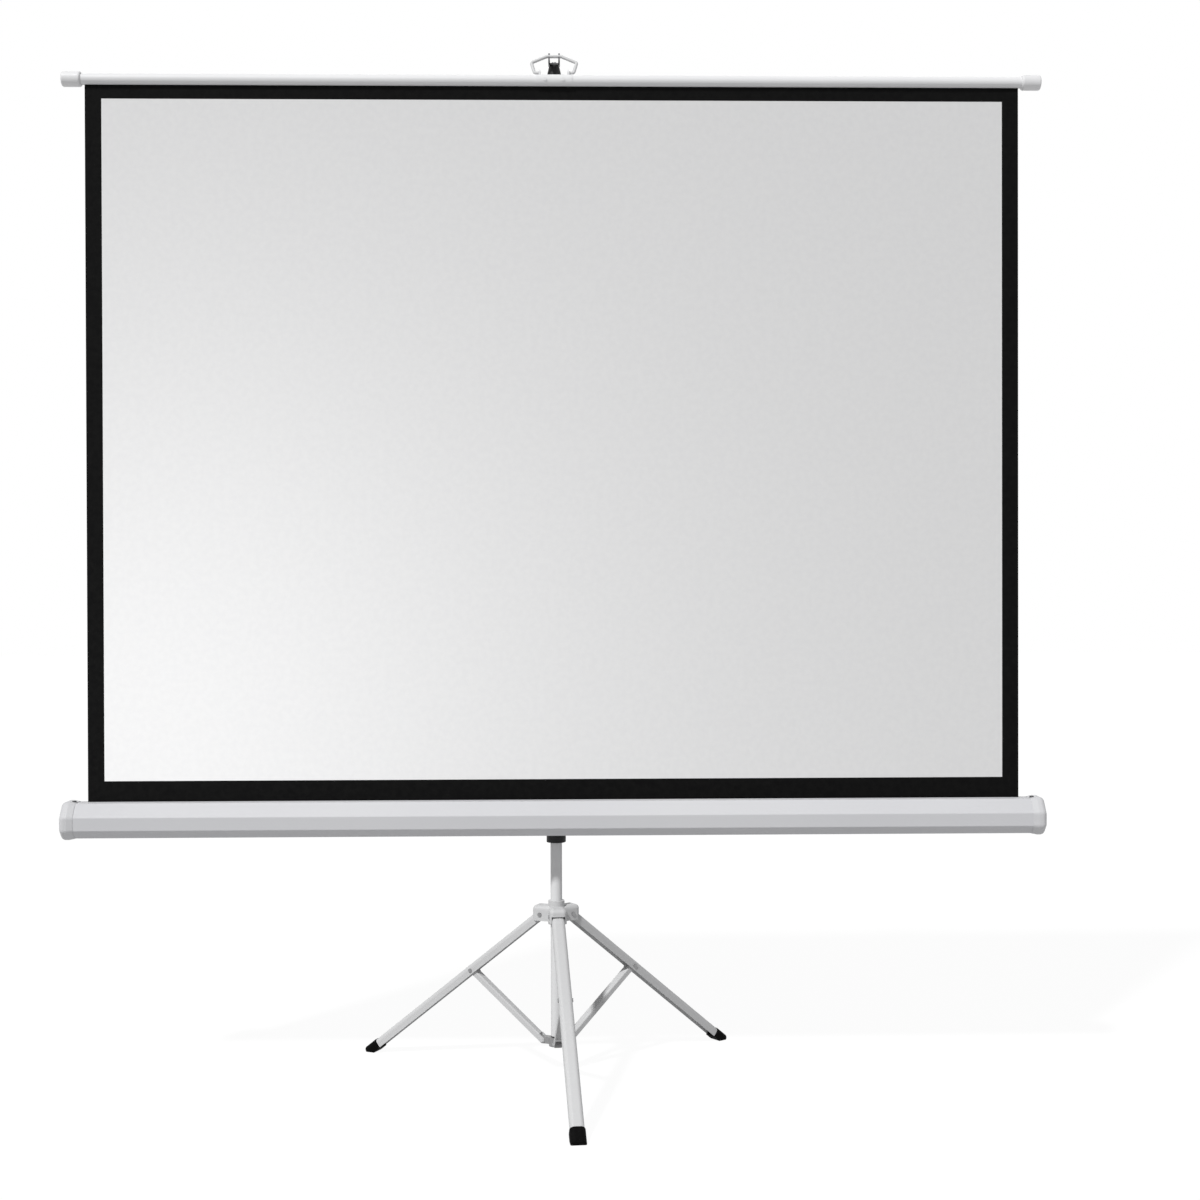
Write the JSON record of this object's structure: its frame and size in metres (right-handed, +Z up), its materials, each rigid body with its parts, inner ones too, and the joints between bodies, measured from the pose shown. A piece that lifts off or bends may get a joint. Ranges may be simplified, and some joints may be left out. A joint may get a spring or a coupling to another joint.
{
  "type": "tripod projection screen",
  "caption": "Portable projection screen: black-edged white cloth pulled up from a faceted roller case and hung by a wire bail on a telescoping pole's hook, on a folding tripod stand.",
  "frame": {"origin": "on the floor, under the middle of the rectangle that the three feet and the case cover", "axes": "+X to the viewer's right along the case, the screen faces -Y, +Z up"},
  "size_m": [1.846, 0.6724, 1.9506],
  "materials": {
    "white_enamel": "satin",
    "grey_enamel": "satin",
    "white_plastic": "satin",
    "black_plastic": "matte",
    "black_rubber": "matte",
    "steel": "plated",
    "screen_cloth": "matt white"
  },
  "bodies": {
    "stand": {"column_tube": "grey_enamel", "column_end_bush": "black_plastic", "column_top_bush": "black_plastic", "leg_hub": "grey_enamel", "hub_screw": "steel", "leg_pivot_pins": "steel"},
    "leg_front": {"leg_front": "grey_enamel", "foot_front": "black_rubber", "brace_rivet_front": "steel"},
    "leg_rear_left": {"leg_rear_left": "grey_enamel", "foot_rear_left": "black_rubber", "brace_rivet_rear_left": "steel"},
    "leg_rear_right": {"leg_rear_right": "grey_enamel", "foot_rear_right": "black_rubber", "brace_rivet_rear_right": "steel"},
    "brace_front": {"brace_front": "grey_enamel"},
    "brace_rear_left": {"brace_rear_left": "grey_enamel"},
    "brace_rear_right": {"brace_rear_right": "grey_enamel"},
    "spreader": {"spread_collar": "black_plastic", "collar_pins": "steel", "spreader_rod": "steel", "rod_screw": "steel"},
    "mast": {"mast_tube": "grey_enamel", "mast_guide": "black_plastic", "mast_clamp": "black_plastic", "clamp_screws": "steel", "swivel_plate": "steel", "plate_screws": "steel", "swivel_bolt": "steel", "swivel_washer": "steel", "lock_housing": "black_plastic", "release_spring": "steel", "case_shell": "white_enamel", "end_cap_left": "white_plastic", "end_cap_right": "white_plastic", "end_cap_screws": "steel", "spring_arbor": "steel", "roller_spring": "steel", "screen_fabric": "screen_cloth"},
    "roller": {"roller_tube": "steel", "fabric_wrap": "screen_cloth", "idle_plug": "black_plastic", "idle_pin": "steel", "spring_plug": "black_plastic", "spring_anchor": "black_plastic"},
    "ring": {"release_ring": "black_plastic"},
    "pole": {"pole_tube": "grey_enamel", "pole_guide": "black_plastic", "pole_plug": "black_plastic", "hook_bracket": "grey_enamel", "hook_screw": "steel", "top_bar": "white_enamel", "bar_cap_left": "white_plastic", "bar_cap_right": "white_plastic", "bar_spline": "black_plastic", "bail_bracket": "white_enamel", "bracket_rivets": "steel"},
    "bail": {"bail": "white_enamel"},
    "knob": {"column_knob": "black_plastic"}
  },
  "joints": [
    {"name": "leg_front_fold", "type": "hinge", "parent": "stand", "child": "leg_front", "pos_m": [0.00259, 0.05615, 0.306], "axis": [0.9957, 0.0924, 0], "range_deg": [0, 48.5]},
    {"name": "brace_front_turn", "type": "hinge", "parent": "leg_front", "child": "brace_front", "pos_m": [0.01668, -0.09581, 0.18461], "axis": [0.9957, 0.0924, 0], "range_deg": [-97, 0]},
    {"name": "spreader_turn", "type": "hinge", "parent": "brace_front", "child": "spreader", "pos_m": [0.00259, 0.05615, 0.06322], "axis": [0.9957, 0.0924, 0], "range_deg": [0, 48.5]},
    {"name": "leg_rear_right_fold", "type": "hinge", "parent": "stand", "child": "leg_rear_right", "pos_m": [0.02285, 0.10021, 0.306], "axis": [-0.5779, 0.8161, 0], "range_deg": [0, 48.5]},
    {"name": "brace_rear_right_turn", "type": "hinge", "parent": "leg_rear_right", "child": "brace_rear_right", "pos_m": [0.1474, 0.1884, 0.18461], "axis": [-0.5779, 0.8161, 0], "range_deg": [-97, 0]},
    {"name": "leg_rear_left_fold", "type": "hinge", "parent": "stand", "child": "leg_rear_left", "pos_m": [-0.02544, 0.09573, 0.306], "axis": [-0.4179, -0.9085, 0], "range_deg": [0, 48.5]},
    {"name": "brace_rear_left_turn", "type": "hinge", "parent": "leg_rear_left", "child": "brace_rear_left", "pos_m": [-0.16408, 0.1595, 0.18461], "axis": [-0.4179, -0.9085, 0], "range_deg": [-97, 0]},
    {"name": "mast_slide", "type": "slide", "parent": "stand", "child": "mast", "axis": [0, 0, 1], "range_m": [0, 0.2]},
    {"name": "roller_turn", "type": "hinge", "parent": "mast", "child": "roller", "pos_m": [0, 0.02623, 0.49925], "axis": [1, 0, 0], "range_deg": [-2060, 0]},
    {"name": "ring_press", "type": "slide", "parent": "mast", "child": "ring", "axis": [0, 0, -1], "range_m": [0, 0.004], "stiffness_N_per_m": 1200, "springref_m": -0.002, "deforming": ["release_spring"]},
    {"name": "pole_slide", "type": "slide", "parent": "mast", "child": "pole", "axis": [0, 0, 1], "range_m": [-0.69, 0], "deforming": ["screen_fabric"]},
    {"name": "bail_swing", "type": "hinge", "parent": "pole", "child": "bail", "pos_m": [0, 0.04603, 1.9044], "axis": [1, 0, 0], "range_deg": [0, 108]},
    {"name": "knob_turn", "type": "hinge", "parent": "stand", "child": "knob", "pos_m": [0, 0.08403, 0.468], "axis": [0, 1, 0], "range_deg": [-180, 0]}
  ],
  "couplings": [
    {"joint": "leg_rear_left_fold", "follows": "leg_front_fold", "ratio": 1},
    {"joint": "leg_rear_right_fold", "follows": "leg_front_fold", "ratio": 1},
    {"joint": "brace_front_turn", "follows": "leg_front_fold", "ratio": -2},
    {"joint": "brace_rear_left_turn", "follows": "leg_front_fold", "ratio": -2},
    {"joint": "brace_rear_right_turn", "follows": "leg_front_fold", "ratio": -2},
    {"joint": "spreader_turn", "follows": "leg_front_fold", "ratio": 1},
    {"joint": "roller_turn", "follows": "pole_slide", "rad_per_m": 51.948}
  ]
}
